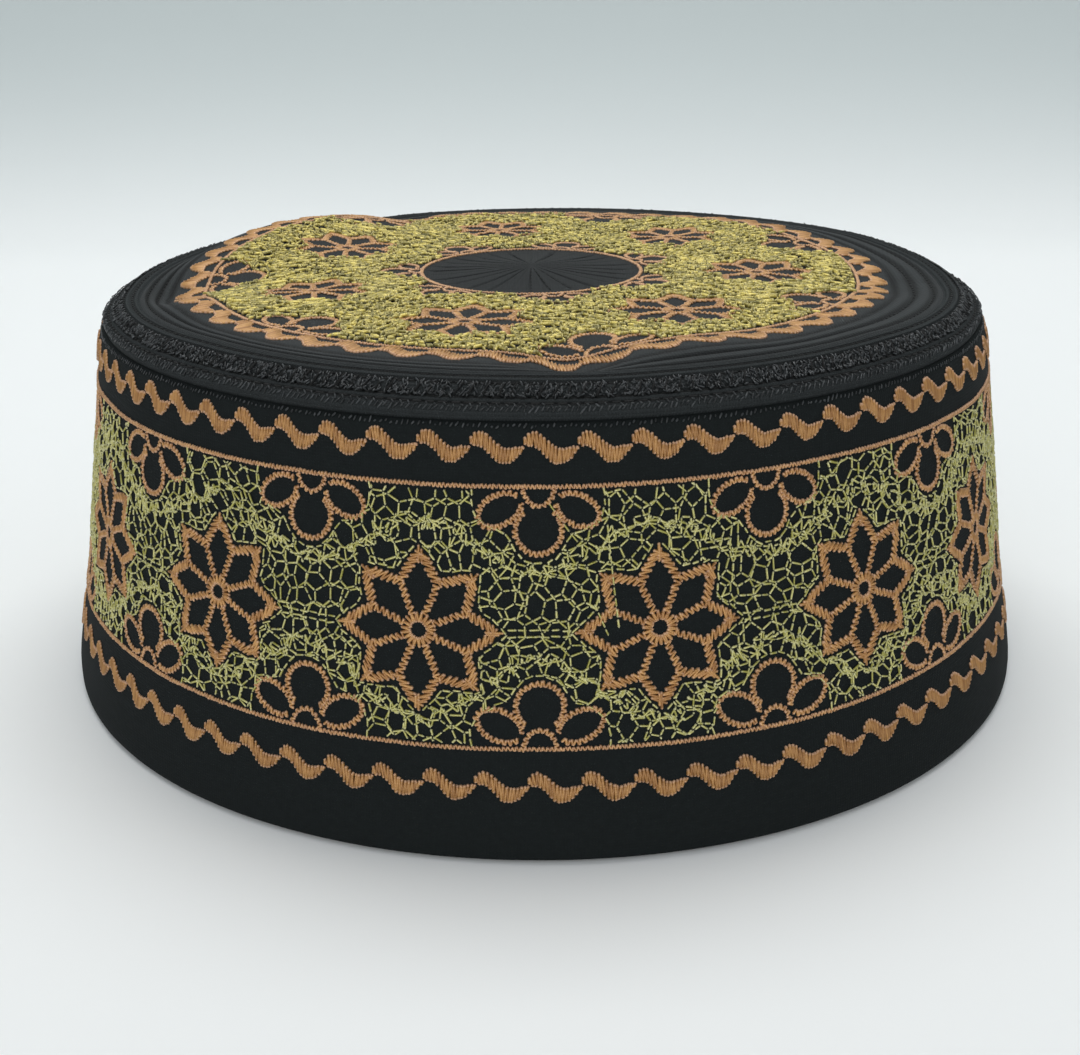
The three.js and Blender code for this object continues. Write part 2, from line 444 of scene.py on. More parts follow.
def star():
    """An eight-pointed star of satin stitches with a ring in the middle, its tips on the axes."""
    sets = []
    for petal in range(8):
        turn = 45.0 * petal
        for side in (1, -1):
            valley = around(STAR_VALLEY, 22.5 * side, 22.5 * side, 1)[0]
            tip = np.array((STAR_TIP - 0.9, 0.32 * side))
            edge = satin(np.stack((valley, tip)), STAR_STROKE, (28 * side, 50 * side))
            sets.append(placed(edge, turn=turn))
        tip_stitches = np.array((
            ((STAR_TIP - 2.6, 0.0), (STAR_TIP + 0.5, 0.0)),
            ((STAR_TIP - 2.4, -0.3), (STAR_TIP - 0.1, -0.36)),
        ))
        sets.append(placed(tip_stitches, turn=turn))
        spoke = np.array(((HUB_RADIUS + 0.5, 0), (STAR_VALLEY - 0.2, 0)))
        sets.append(placed(satin(spoke, SPOKE_STROKE, 18), turn=turn + 22.5))
    sets.append(satin(around(HUB_RADIUS, 0, 360), HUB_STROKE, pitch=LINE_PITCH))
    return np.concatenate(sets)


def half_flower():
    """Three satin petals over a half ellipse, on a base line at y = 0."""
    petal = around(PETAL_RADIUS, -52, 232) + (0, PETAL_HEIGHT)
    bud = around(1, -4, 184) * (BUD["wide"], BUD["tall"])
    sets = [satin(petal, FLOWER_STROKE), satin(bud, 0.95)]
    for side in (1, -1):
        loop = around(1, 196, 196 + 330) * (SIDE_PETAL["long"], SIDE_PETAL["short"])
        tilted = placed(loop, turn=SIDE_PETAL["tilt"]) + (SIDE_PETAL["x"], SIDE_PETAL["y"])
        sets.append(satin(tilted * (side, 1), FLOWER_STROKE))
    return np.concatenate(sets)


def wave(length, swell):
    """One running scroll of satin stitches, which fan out at its crest and in its trough."""
    shares, upper, lower = np.array(WAVE_EDGES).T
    upper = upper + swell
    lower = lower - swell
    steps = np.linspace(0, 1, round(length / FILL_PITCH))
    fan = 0.3 * np.cos(math.pi * steps)
    below = np.stack((steps * length + np.minimum(fan, 0), np.interp(steps, shares, lower)), 1)
    above = np.stack((steps * length - np.maximum(fan, 0), np.interp(steps, shares, upper)), 1)
    holes = np.where(np.arange(len(steps))[:, None] % 2, above, below)
    return np.stack((holes[:-1], holes[1:]), 1)


def wave_row(radius, count, first_degrees, swell=0.0):
    """A row of waves round the cap, in a plane whose u runs at that radius."""
    pitch = TURN * radius / count
    motif = wave(pitch, swell)
    begin = math.radians(first_degrees) * radius
    return by_hand(np.concatenate([
        placed(motif, to=(begin + index * pitch, 0)) for index in range(count)
    ]), 0.05)


def line_row(radius):
    """A narrow satin line all round, in a plane whose u runs at that radius."""
    return by_hand(satin(np.array(((0, 0), (TURN * radius, 0))), LINE_WIDTH, 12, LINE_PITCH), 0.05)


# The net of running stitches between the motifs

def contour_reach(direction, table, turns):
    """A contour's reach in a direction in degrees. It repeats so many times and is mirrored in each."""
    folded = np.abs((direction + 180 / turns) % (360 / turns) - 180 / turns)
    return np.interp(folded, *np.array(table).T)


def outside_contour(points, table, turns):
    """How far points lie outside a contour round the origin."""
    x, y = points[..., 0], points[..., 1]
    return np.hypot(x, y) - contour_reach(np.degrees(np.arctan2(y, x)), table, turns)


def cell_edges(points):
    """Edges of the rounded cells round scattered points: lines between the triangles' middles."""
    flat = [Vector(point) for point in points.tolist()]
    corners, _, triangles = geometry.delaunay_2d_cdt(flat, [], [], 0, 1e-7)[:3]
    corners = np.array([tuple(corner) for corner in corners])
    triangles = np.array(triangles)
    middles = corners[triangles].mean(1)
    sides = np.sort(np.concatenate([triangles[:, [a, b]] for a, b in ((0, 1), (1, 2), (2, 0))]), 1)
    owner = np.tile(np.arange(len(triangles)), 3)
    order = np.lexsort((sides[:, 0], sides[:, 1]))
    sides, owner = sides[order], owner[order]
    shared = np.all(sides[:-1] == sides[1:], 1)
    return np.stack((middles[owner[:-1][shared]], middles[owner[1:][shared]]), 1)


def clipped(lines, room):
    """Lines cut to where room, positive inside the field, allows them."""
    inside = room(lines) > 0
    lines = lines[inside.any(1)]
    inside = room(lines) > 0
    for end in range(2):
        cut = ~inside[:, end]
        good, bad = lines[cut, 1 - end], lines[cut, end]
        for _ in range(10):
            middle = (good + bad) / 2
            keep = room(middle) > 0
            good = np.where(keep[:, None], middle, good)
            bad = np.where(keep[:, None], bad, middle)
        lines[cut, end] = good
    return lines[np.hypot(*(lines[:, 1] - lines[:, 0]).T) > 0.45]


def dashes(lines, gap=0.04):
    """Each line as one stitch, or as two where it is long, with a small gap at both ends."""
    length = np.hypot(*(lines[:, 1] - lines[:, 0]).T)
    middle = lines.mean(1)
    long = length > LONGEST_DASH
    halves = [np.stack((lines[long, 0], middle[long]), 1), np.stack((middle[long], lines[long, 1]), 1)]
    lines = np.concatenate([lines[~long], *halves])
    ahead = lines[:, 1] - lines[:, 0]
    trim = ahead * (gap / 2 / np.hypot(*ahead.T))[:, None]
    return np.stack((lines[:, 0] + trim, lines[:, 1] - trim), 1)


def scattered(low, high, spacing):
    """Points near the places of a staggered grid."""
    columns = round((high[0] - low[0]) / spacing)
    rows = round((high[1] - low[1]) / (spacing * 0.866))
    column, row = np.meshgrid(np.arange(columns), np.arange(rows))
    points = np.stack((column + row % 2 / 2, row * 0.866), -1).reshape(-1, 2) * spacing + low
    return points + rng.uniform(-0.48, 0.48, points.shape) * spacing


def scribble(path, spread, step):
    """A tangle of short stitches that wanders to and fro along a path."""
    count = round(path_length(path) / step)
    points, ahead = sampled(path, count)
    left = np.stack((-ahead[:, 1], ahead[:, 0]), 1)
    points = points + left * rng.uniform(-spread, spread, (count, 1))
    points = points + ahead * rng.normal(0, 0.8, (count, 1))
    return np.stack((points[:-1], points[1:]), 1)


def tangles(path, kinds, room):
    """A tangled ribbon along a path, sewn once for each kind."""
    return [dashes(clipped(scribble(path, *kind), room)) for kind in kinds]


# Cells round the band in the two layers of its net, and the spacings of the crown net's three layers
BAND_NET_CELLS = (144, 151)
CROWN_NET_SPACINGS = (3.3, 3.8, 4.3)

# Tangled ribbons in the nets: height and sway on the band, radius on the crown. Each is sewn twice, with a
# half width and a step in millimetres.
BAND_RIBBONS = ((50.3, -3.5), (28.2, 4.9))
BAND_TANGLES = ((1.2, 0.5), (2.2, 0.9))
CROWN_RIBBONS = (33, 47, 57)
CROWN_TANGLES = ((3.5, 0.6), (6, 0.9))

# Stray threads of the net across a star at the front: u and v of their two ends
STRAYS = (
    (10.6, 54.0, 11.3, 46.0), (11.3, 46.0, 12.2, 37.5), (8.4, 41.8, 10.6, 36.4),
    (1.5, 57.5, 4.8, 52.8), (4.8, 52.8, 7.4, 49.6),
)

# Reach of the net's inner border round a star, and round a half flower from its base up
STAR_CONTOUR = ((0, 13.8), (9, 11.9), (22.5, 9.9))
FLOWER_CONTOUR = (
    (0, 11.9), (12, 11.6), (22, 10.3), (34, 8.9), (48, 9.9), (64, 11.0), (76, 10.9), (90, 10.4),
)


def band_room(points):
    """How far inside the band's net field points lie."""
    u = (points[..., 0] + PERIOD / 2) % PERIOD - PERIOD / 2
    v = points[..., 1]
    room = outside_contour(np.stack((np.abs(u) - PERIOD / 2, v - STAR_HEIGHT), -1), STAR_CONTOUR, 8)
    for base, up, scale in ((LOWER_LINE, 1, 1.0), (UPPER_LINE, -1, UPPER_FLOWER_SIZE)):
        seen = np.stack(((v - base) * up, u), -1) / scale
        room = np.minimum(room, outside_contour(seen, FLOWER_CONTOUR, 1) * scale)
        room = np.minimum(room, (v - base) * up - 0.6)
    return np.minimum(room, np.abs(v - STAR_HEIGHT + 0.25 * np.sin(u)) - 0.3)


def contour(table, turns, first, last, count):
    """Points of a contour between two directions in degrees."""
    reach = contour_reach(np.linspace(first, last, count), table, turns)
    return reach[:, None] * around(1, first, last, count)


def net_borders(star_size=1.0, flower_size=1.0):
    """Running stitches along the net's borders round a star and round a half flower."""
    star_line = star_size * contour(STAR_CONTOUR, 8, 0, 360, 65)
    flower_line = flower_size * contour(FLOWER_CONTOUR, 1, -90, 90, 37)[:, ::-1]
    return running(star_line), running(flower_line)


def band_net():
    """The net of the whole band, with its borders and its two tangled ribbons."""
    full = PERIOD * STAR_COUNT
    sets = []
    for cells in BAND_NET_CELLS:
        points = scattered((0, LOWER_LINE - 4), (full, UPPER_LINE + 4), full / cells)
        wrapped = np.concatenate((points - (full, 0), points, points + (full, 0)))
        near = (wrapped[:, 0] > -12) & (wrapped[:, 0] < full + 12)
        lines = cell_edges(wrapped[near])
        middle = lines.mean(1)[:, 0]
        sets.append(dashes(clipped(lines[(middle >= 0) & (middle < full)], band_room)))
    star_line, flower_line = net_borders()
    for index in range(STAR_COUNT):
        u = index * PERIOD
        borders = [
            placed(star_line, to=(u + PERIOD / 2, STAR_HEIGHT)),
            placed(flower_line, to=(u, LOWER_LINE)),
            placed(flower_line, scale=UPPER_FLOWER_SIZE, to=(u, UPPER_LINE), flip=True),
        ]
        for border in borders:
            bent = by_hand(border, 0.12)
            sets.append(bent[band_room(bent.mean(1)) > -0.35])
        for height in (STAR_HEIGHT - 0.5, STAR_HEIGHT + 0.5):
            waist = running(np.array(((u - 5, height), (u + 5, height))))
            sets.append(by_hand(waist, 0.1))
    u = np.linspace(0, full, 1500)
    swing = np.cos(TURN * u / PERIOD)
    for height, sway in BAND_RIBBONS:
        sets += tangles(np.stack((u, height + sway * swing), 1), BAND_TANGLES, band_room)
    sets += [running(np.array(stray).reshape(2, 2)) for stray in STRAYS]
    return np.concatenate(sets)


def crown_motifs():
    """Where the crown's motifs stand: kind, middle or base in the plan, turn in degrees and scale."""
    rows = [("star", CROWN_STAR_REACH, angle, angle + 8, scale) for angle, scale in CROWN_STARS]
    for reach, half_turn, scale in ((OUTER_RING - 0.3, 0, 1.0), (INNER_RING + 0.3, 180, INNER_FLOWER_SIZE)):
        rows += [("flower", reach, angle, angle + half_turn, scale) for angle in CROWN_FLOWERS]
    motifs = []
    for kind, reach, degrees, turn, scale in rows:
        motifs.append((kind, plan_points(math.radians(degrees), reach), turn, scale))
    return motifs


def crown_room(points):
    """How far inside the crown's net field points lie."""
    reach = np.hypot(points[..., 0], points[..., 1])
    room = np.minimum(OUTER_RING - 0.6 - reach, reach - INNER_RING - 0.6)
    for kind, middle, turn, scale in crown_motifs():
        seen = placed(points - middle, scale=1 / scale, turn=-turn)
        if kind == "star":
            away = outside_contour(seen, STAR_CONTOUR, 8) + 0.7
        else:
            away = outside_contour(seen[..., ::-1], FLOWER_CONTOUR, 1) + 0.5
        room = np.minimum(room, away * scale)
    return room


def crown_net():
    """The crown's net, denser than the band's, with its borders and tangles."""
    edge = OUTER_RING + 4
    sets = []
    for spacing in CROWN_NET_SPACINGS:
        lines = cell_edges(scattered((-edge, -edge), (edge, edge), spacing))
        lines = lines[np.hypot(*lines.mean(1).T) < edge]
        sets.append(dashes(clipped(lines, crown_room)))
    for radius in CROWN_RIBBONS:
        ring = around(radius, 0, 360, 400)
        ring = ring * (1 + 0.08 * np.sin(7 * np.linspace(0, TURN, 400))[:, None])
        sets += tangles(ring, CROWN_TANGLES, crown_room)
    star_line, flower_line = net_borders(0.93, 0.95)
    for kind, middle, turn, scale in crown_motifs():
        border = by_hand(placed(star_line if kind == "star" else flower_line, scale, turn, middle), 0.12)
        sets.append(border[crown_room(border.mean(1)) > -0.5])
    return np.concatenate(sets)


# The black stitches of the edge

# Rows of slanted stitches on the strip: share of its length up from the shoulder, then the stitches'
# height, lean and pitch in millimetres. The seam's row starts with how far it lies below the shoulder.
STRIP_ROWS = ((0.17, 0.95, 0.7, 0.85), (0.23, 0.5, -0.6, 1.3))
OVERLOCK_ROW = (0.535, 2.3, 0.9, 2.1)
SEAM_ROW = (0.7, 0.6, 0.4, 0.9)

# The strip's tangled row: share of its length, half width in millimetres and number of stitches
TANGLED_ROW = (0.52, 1.2, 5600)

QUILTING_STITCH = {"length": 1.6, "gap": 0.35}
PLEAT_STITCH = {"length": 2.2, "gap": 0.1}


def slanted_row(height, length, lean, pitch, radius):
    """A row of slanted stitches round the cap at a height of the plane whose u runs at that radius."""
    count = round(TURN * radius / pitch)
    u = np.arange(count) * TURN * radius / count
    low = np.stack((u - lean / 2, np.full(count, height - length / 2)), 1)
    high = np.stack((u + lean / 2, np.full(count, height + length / 2)), 1)
    return by_hand(np.stack((low, high), 1), 0.13)


def tangled_row(height, spread, count, radius):
    """Short stitches that cross each other every way, scattered in a band round the cap."""
    u = rng.uniform(0, TURN * radius, count)
    middle = np.stack((u, height + rng.uniform(-spread, spread, count)), 1)
    angle = rng.uniform(0.35, math.pi - 0.35, count)
    half = rng.uniform(0.25, 0.65, (count, 1)) * np.stack((np.cos(angle), np.sin(angle)), 1)
    return np.stack((middle - half, middle + half), 1)


def quilting_row(height, radius):
    """A row of quilting stitches round the cap at a height of the plane whose u runs at that radius."""
    line = np.array(((0, height), (TURN * radius, height)))
    return by_hand(running(line, **QUILTING_STITCH), 0.04)


def pleat_spokes():
    """Running stitches outwards along the crown's pleats."""
    turns = (np.arange(PLEAT_COUNT) + rng.uniform(-0.2, 0.2, PLEAT_COUNT)) / PLEAT_COUNT
    spokes = []
    for angle in turns * TURN:
        reach = np.array((1.0, rng.uniform(0.7, 1) * PLEATED_RADIUS))
        spokes.append(running(plan_points(angle, reach), **PLEAT_STITCH))
    return spokes


# Skins of cloth

# Angles of a ring's points, and those of its cloth coordinates, with the first again at the end
COLUMNS = 448
RING_ANGLES = np.linspace(0, TURN, COLUMNS, endpoint=False)
CLOSED_ANGLES = np.linspace(0, TURN, COLUMNS + 1)

HEM_RADIUS = WALL / 2
GROOVE_REACH = 0.42
SEAM_REACH = 0.55
SEAM_DEPTH = 0.5


def groove(distance, depth, reach=GROOVE_REACH):
    """How far a row of stitches pulls the cloth in, so far away from it."""
    return depth * np.exp(-((distance / reach) ** 2))


def seam_dip(distance):
    """How far the cloth turns in at a seam."""
    return -groove(distance, SEAM_DEPTH, SEAM_REACH)


def level_row(angles, radius, height):
    """Points at one height of the plane whose u runs at that radius."""
    return np.stack((angles * radius, np.full(len(angles), float(height))), 1)


def build_band(material):
    """The side band's skin, with close rings at the seam and a rounded hem."""
    outside = np.concatenate((np.linspace(HEM_RADIUS, 66.5, 50), np.linspace(67, SHOULDER_HEIGHT, 7)))
    inside = np.linspace(SHOULDER_HEIGHT, HEM_RADIUS, 14)
    hem = math.pi * np.linspace(1, 0, 9)[1:-1]
    profile = [(height, seam_dip(SHOULDER_HEIGHT - height)) for height in outside]
    profile += [(height, -WALL) for height in inside]
    rings = [on_band(level_row(RING_ANGLES, PATTERN_RADIUS, height), lift) for height, lift in profile]
    for angle in hem:
        lift = -HEM_RADIUS + HEM_RADIUS * math.cos(angle)
        ring = on_band(level_row(RING_ANGLES, PATTERN_RADIUS, HEM_RADIUS), lift)
        ring[:, 2] -= HEM_RADIUS * math.sin(angle)
        rings.append(ring)
    heights = [height for height, _ in profile] + [HEM_RADIUS - angle for angle in hem]
    weave = [level_row(CLOSED_ANGLES, PATTERN_RADIUS, height) for height in heights]
    return swept_skin("band_cloth", rings, weave, material)


def build_strip(material):
    """The edge strip's skin, with the grooves of its rows of stitches."""
    outside = np.linspace(0, STRIP_LENGTH, 56)
    inside = np.linspace(STRIP_LENGTH, 0, 5)
    dips = seam_dip(outside) + seam_dip(STRIP_LENGTH - outside)
    for share in STRIP_GROOVES:
        dips = dips - groove(outside - share * STRIP_LENGTH, STRIP_GROOVE_DEPTH)
    profile = list(zip(outside, dips))
    profile += [(along, -WALL) for along in inside]
    rings = [on_strip(level_row(RING_ANGLES, STRIP_RADIUS, along), lift) for along, lift in profile]
    weave = [level_row(CLOSED_ANGLES, STRIP_RADIUS, along) for along, _ in profile]
    return swept_skin("strip_cloth", rings, weave, material)


def crown_relief(radius, angle):
    """The crown's relief: quilting grooves near the seam, pleats in the middle, low puffs in between."""
    quilt = sum(groove(radius - line, QUILT_DEPTH) for line in QUILT_RADII)
    bend = 0.03 * np.sin(3 * angle) + 0.02 * np.sin(5 * angle + 1)
    fold = np.abs(np.cos(PLEAT_COUNT / 2 * (angle + bend))) ** 24 * (0.6 + 0.4 * np.sin(11 * angle + 1))
    pleats = PLEAT_DEPTH * fold * smooth_step(0.5, 4, radius)
    pleats = pleats * (1 - smooth_step(18, PLEATED_RADIUS, radius))
    puffs = 0.1 * np.sin(0.31 * radius + 2 * angle) * np.sin(5 * angle + 0.17 * radius)
    puffs = puffs * smooth_step(PLEATED_RADIUS, PLEATED_RADIUS + 6, radius)
    puffs = puffs * (1 - smooth_step(64, 70, radius))
    return seam_dip(CROWN_RADIUS - radius) - quilt - pleats + puffs


def build_crown(material):
    """The crown's skin, with rings over the quilting, the embroidered field and the pleats."""
    under = np.linspace(6, CROWN_RADIUS - 0.1, 14)
    quilting = np.linspace(CROWN_RADIUS - 0.05, 70.4, 28)
    field = np.linspace(69, 24, 32)
    pleats = (22.5, 20.5, 18, 15, 12, 9, 6.5, 4.5, 2.8, 1.4)
    profile = [(radius, -WALL) for radius in under]
    profile += [(radius, crown_relief(radius, RING_ANGLES)) for radius in (*quilting, *field, *pleats)]
    rings = [on_crown(np.zeros((1, 2)), -WALL)]
    weave = [np.zeros((COLUMNS + 1, 2))]
    for radius, lift in profile:
        rings.append(on_crown(plan_points(RING_ANGLES, radius), lift))
        weave.append(plan_points(CLOSED_ANGLES, radius))
    rings.append(on_crown(np.zeros((1, 2)), -0.1))
    weave.append(np.zeros((COLUMNS + 1, 2)))
    return swept_skin("crown_cloth", rings, weave, material)


# Materials

# Threads: their darkest and lightest tone, the painted highlight tone at the ends of a stitch where it bends
# into the cloth, roughness and metallic share
THREADS = {
    "black_thread": ((0.006, 0.007, 0.008), (0.06, 0.066, 0.07), (0.026, 0.03, 0.031), 0.3, 0.0),
    # A darker black for the stitches in grooves, pleats and the overlock row: painted shade, standing in for
    # the shade that falls there.
    "painted_shade_black_thread": ((0.0015, 0.002, 0.002), (0.004, 0.005, 0.005), (0.003, 0.004, 0.004), 0.9, 0.0),
    "copper_thread": ((0.36, 0.17, 0.055), (0.6, 0.33, 0.12), (0.8, 0.54, 0.4), 0.45, 0.15),
    # A darker copy of the copper thread for the band's dense wave fill: painted shade, standing in for the
    # shading among its close stitches.
    "shaded_copper_fill_thread": ((0.31, 0.145, 0.045), (0.5, 0.265, 0.09), (0.8, 0.54, 0.4), 0.45, 0.15),
    "green_gold_thread": ((0.38, 0.36, 0.08), (0.66, 0.62, 0.25), (0.76, 0.76, 0.56), 0.38, 0.2),
    # A darker copy of the green gold thread for the crown's dense net, with a wider spread of tones: painted
    # shade and painted highlights among its layered strands.
    "shaded_crown_green_gold_thread": ((0.135, 0.118, 0.018), (0.73, 0.6, 0.145), (0.7, 0.62, 0.32), 0.38, 0.2),
}

# Painted shade in the quilting grooves: the tone in the middle of a quilting line, and the lines' half
# widths in millimetres
GROOVE_SHADE_TONE = 0.1
CROWN_LINE_REACH = 1.1
STRIP_LINE_REACH = 0.7

# The crown cloth's tones beside its quilting lines, lighter over the quilted border than over the field as
# painted light on its ridges, and darker over the pleated middle: share of the crown's radius, share of the
# base tone
CROWN_TONES = ((0, 0.52), (0.27, 0.52), (0.29, 0.75), (0.8, 0.75), (0.89, 1.0), (1, 1.0))


def new_material(name):
    material = bpy.data.materials.new(name)
    material.use_nodes = True
    return material, material.node_tree, material.node_tree.nodes["Principled BSDF"]


def feed(tree, node, inputs):
    """Links a node's inputs to sockets, or sets them to numbers and colours."""
    for name, value in inputs.items():
        if isinstance(value, bpy.types.NodeSocket):
            tree.links.new(value, node.inputs[name])
        else:
            node.inputs[name].default_value = value


def new_node(tree, kind, inputs, **settings):
    node = tree.nodes.new("ShaderNode" + kind)
    for name, value in settings.items():
        setattr(node, name, value)
    feed(tree, node, inputs)
    return node


def calculated(tree, operation, first, second):
    return new_node(tree, "Math", {0: first, 1: second}, operation=operation).outputs[0]


def mixed_color(tree, factor, first, second, blend="MIX"):
    inputs = {"Factor": factor, "A": first, "B": second}
    return new_node(tree, "Mix", inputs, data_type="RGBA", blend_type=blend).outputs["Result"]


def bumped(tree, height, strength, distance):
    inputs = {"Height": height, "Strength": strength, "Distance": distance}
    return new_node(tree, "Bump", inputs).outputs["Normal"]


def cloth(name, color, roughness, sheen, lumps=0.00012):
    """Black woven cloth with a fine plain weave, lumps so many metres deep and a slightly uneven tone.
    Its cloth coordinates and its tone come back as sockets, for lines of painted shade to be laid over."""
    material, tree, shader = new_material(name)
    plan = new_node(tree, "UVMap", {}, uv_map="weave").outputs["UV"]
    yarns = {"Vector": plan, "Scale": 0.62, "Distortion": 0.7, "Detail Scale": 1.5}
    warp = new_node(tree, "TexWave", yarns, bands_direction="X").outputs["Fac"]
    weft = new_node(tree, "TexWave", yarns, bands_direction="Y").outputs["Fac"]
    grain = new_node(tree, "TexNoise", {"Vector": plan, "Scale": 0.9, "Detail": 4}).outputs["Fac"]
    relief = calculated(tree, "ADD", calculated(tree, "MULTIPLY", warp, weft), grain)
    darker = (*(0.75 * part for part in color), 1)
    lighter = (*(1.25 * part for part in color), 1)
    tone = mixed_color(tree, grain, darker, lighter)
    feed(tree, shader, {
        "Base Color": tone,
        "Normal": bumped(tree, relief, 0.5, lumps),
        "Roughness": roughness,
        "Specular IOR Level": 0.12,
        "Sheen Weight": sheen,
        "Sheen Roughness": 0.4,
    })
    return material, tree, shader, plan, tone


def add_painted_groove_shade(tree, shader, tone, position, lines, tones=((0, 1.0), (1, 1.0))):
    """Darkens the cloth along its rows of stitches with painted shade, for the shade in their grooves. lines
    are the middle and half width of each, tones places between them and the cloth's tone there, all as
    shares of the position's 0 to 1."""
    rows = list(tones)
    for middle, half in lines:
        rows += [(middle - half, 1.0), (middle, GROOVE_SHADE_TONE), (middle + half, 1.0)]
    rows.sort()
    ramp = new_node(tree, "ValToRGB", {"Fac": position})
    stops = ramp.color_ramp.elements
    stops[0].position, stops[1].position = rows[0][0], rows[-1][0]
    for place, _ in rows[1:-1]:
        stops.new(place)
    for stop, (_, value) in zip(stops, rows):
        stop.color = (value, value, value, 1)
    # Painted shade: the cloth's tone is multiplied down along its stitched lines, standing in for the shade
    # in their grooves.
    groove_shaded_tone = mixed_color(tree, 1, tone, ramp.outputs["Color"], "MULTIPLY")
    feed(tree, shader, {"Base Color": groove_shaded_tone})


def plain_band_cloth():
    """The side band's cloth, which has no rows of stitches."""
    return cloth("black_band_cloth", (0.0085, 0.011, 0.0112), 0.85, 0.0)[0]


def quilted_crown_cloth():
    """The crown's cloth, with painted shade in the quilting lines that run round at QUILT_RADII and painted
    light over its quilted border.
    """
    base = (0.028, 0.0315, 0.0325)
    material, tree, shader, plan, tone = cloth("black_crown_cloth", base, 0.8, 0.05)
    reach = new_node(tree, "VectorMath", {0: plan}, operation="LENGTH").outputs["Value"]
    share = calculated(tree, "DIVIDE", reach, CROWN_RADIUS)
    lines = [(radius / CROWN_RADIUS, CROWN_LINE_REACH / CROWN_RADIUS) for radius in QUILT_RADII]
    add_painted_groove_shade(tree, shader, tone, share, lines, CROWN_TONES)
    return material


def quilted_strip_cloth():
    """The strip's cloth, with painted shade in the rows of STRIP_GROOVES."""
    base = (0.023, 0.0265, 0.0275)
    material, tree, shader, plan, tone = cloth("black_strip_cloth", base, 0.75, 0.0, 0.0006)
    height = new_node(tree, "SeparateXYZ", {0: plan}).outputs["Y"]
    share = calculated(tree, "DIVIDE", height, STRIP_LENGTH)
    lines = [(place, STRIP_LINE_REACH / STRIP_LENGTH) for place in STRIP_GROOVES]
    add_painted_groove_shade(tree, shader, tone, share, lines)
    return material


def thread(name):
    """Twisted thread whose stitches differ a little in tone, with a painted highlight that makes them paler
    where they bend into the cloth.
    """
    dark, light, end, roughness, metallic = THREADS[name]
    material, tree, shader = new_material(name)
    source = new_node(tree, "Attribute", {}, attribute_name="thread").outputs["Vector"]
    from_start, from_end, tone = new_node(tree, "SeparateXYZ", {0: source}).outputs
    nearest = calculated(tree, "MINIMUM", from_start, from_end)
    # Painted highlight: each stitch is paler towards its ends, standing in for the light caught where the
    # thread bends into the cloth.
    end_highlight_range = {"Value": nearest, "From Min": 0.5, "From Max": 0.05, "To Max": 0.6}
    bend = new_node(tree, "MapRange", end_highlight_range).outputs["Result"]
    color = mixed_color(tree, tone, (*dark, 1), (*light, 1))
    twist = calculated(tree, "PINGPONG", from_start, 0.2)
    feed(tree, shader, {
        "Base Color": mixed_color(tree, bend, color, (*end, 1)),
        "Normal": bumped(tree, twist, 0.35, 0.0004),
        "Roughness": roughness,
        "Metallic": metallic,
    })
    return material


def paper():
    """Pale paper that grows a little darker towards the back and up its wall, as painted shade for the wall
    getting less light than the floor.
    """
    material, tree, shader = new_material("paper")
    place = new_node(tree, "TexCoord", {}).outputs["Object"]
    axes = new_node(tree, "SeparateXYZ", {0: place}).outputs
    along = calculated(tree, "ADD", axes["Y"], axes["Z"])
    # Painted shade: the paper's colour darkens by place towards the back and up the wall, standing in for
    # the falloff of light there.
    painted_shade_span = {"Value": along, "From Min": 0.36, "From Max": 0.66}
    back = new_node(tree, "MapRange", painted_shade_span, interpolation_type="SMOOTHSTEP").outputs["Result"]
    color = mixed_color(tree, back, (0.87, 0.885, 0.88, 1), (0.5, 0.55, 0.55, 1))
    feed(tree, shader, {"Base Color": color, "Roughness": 0.9})
    return material


# The embroidery

def build_band_threads(copper, fill, green):
    stars, flowers = [], []
    for index in range(STAR_COUNT):
        u = index * PERIOD + BAND_SHIFT
        stars.append(placed(star(), to=(u + PERIOD / 2, STAR_HEIGHT)))
        flowers.append(placed(half_flower(), to=(u, LOWER_LINE)))
        flowers.append(placed(half_flower(), scale=UPPER_FLOWER_SIZE, to=(u, UPPER_LINE), flip=True))
    for name, sets in (("band_stars", stars), ("band_flowers", flowers)):
        stitches = by_hand(np.concatenate(sets))
        thread_piece(name, [stitches], SATIN_THREAD, on_band, copper)
    for name, height in (("band_lower_line", LOWER_LINE), ("band_upper_line", UPPER_LINE)):
        row = line_row(PATTERN_RADIUS) + (0, height)
        thread_piece(name, [row], LINE_THREAD, on_band, copper)
    for name, row in (("band_lower_waves", LOWER_WAVES), ("band_upper_waves", UPPER_WAVES)):
        stitches = wave_row(PATTERN_RADIUS, row["count"], row["first"]) + (0, row["height"])
        thread_piece(name, [stitches], SATIN_THREAD, on_band, fill)
    net = [band_net() + (BAND_SHIFT, 0)]
    thread_piece("band_net", net, BAND_NET_THREAD, on_band, green)


def build_crown_threads(copper, green):
    sets = {"star": [], "flower": []}
    for kind, middle, turn, scale in crown_motifs():
        stitches = star() if kind == "star" else half_flower()
        sets[kind].append(by_hand(placed(stitches, scale, turn, middle)))
    thread_piece("crown_stars", sets["star"], SATIN_THREAD, on_crown, copper)
    thread_piece("crown_flowers", sets["flower"], SATIN_THREAD, on_crown, copper)
    for name, radius in (("crown_outer_ring", OUTER_RING), ("crown_inner_ring", INNER_RING)):
        place = on_crown_ring(radius)
        thread_piece(name, [line_row(radius)], LINE_THREAD, place, copper)
    radius = CROWN_WAVES["radius"]
    waves = wave_row(radius, CROWN_WAVES["count"], CROWN_WAVES["first"], CROWN_WAVES["swell"])
    thread_piece("crown_waves", [waves], SATIN_THREAD, on_crown_ring(radius), copper)
    thread_piece("crown_net", [crown_net()], CROWN_NET_THREAD, on_crown, green)


def sunk(place, depth):
    """A placing for stitches at the bottom of a groove."""
    def deeper(points, lift):
        return place(points, lift - depth)
    return deeper


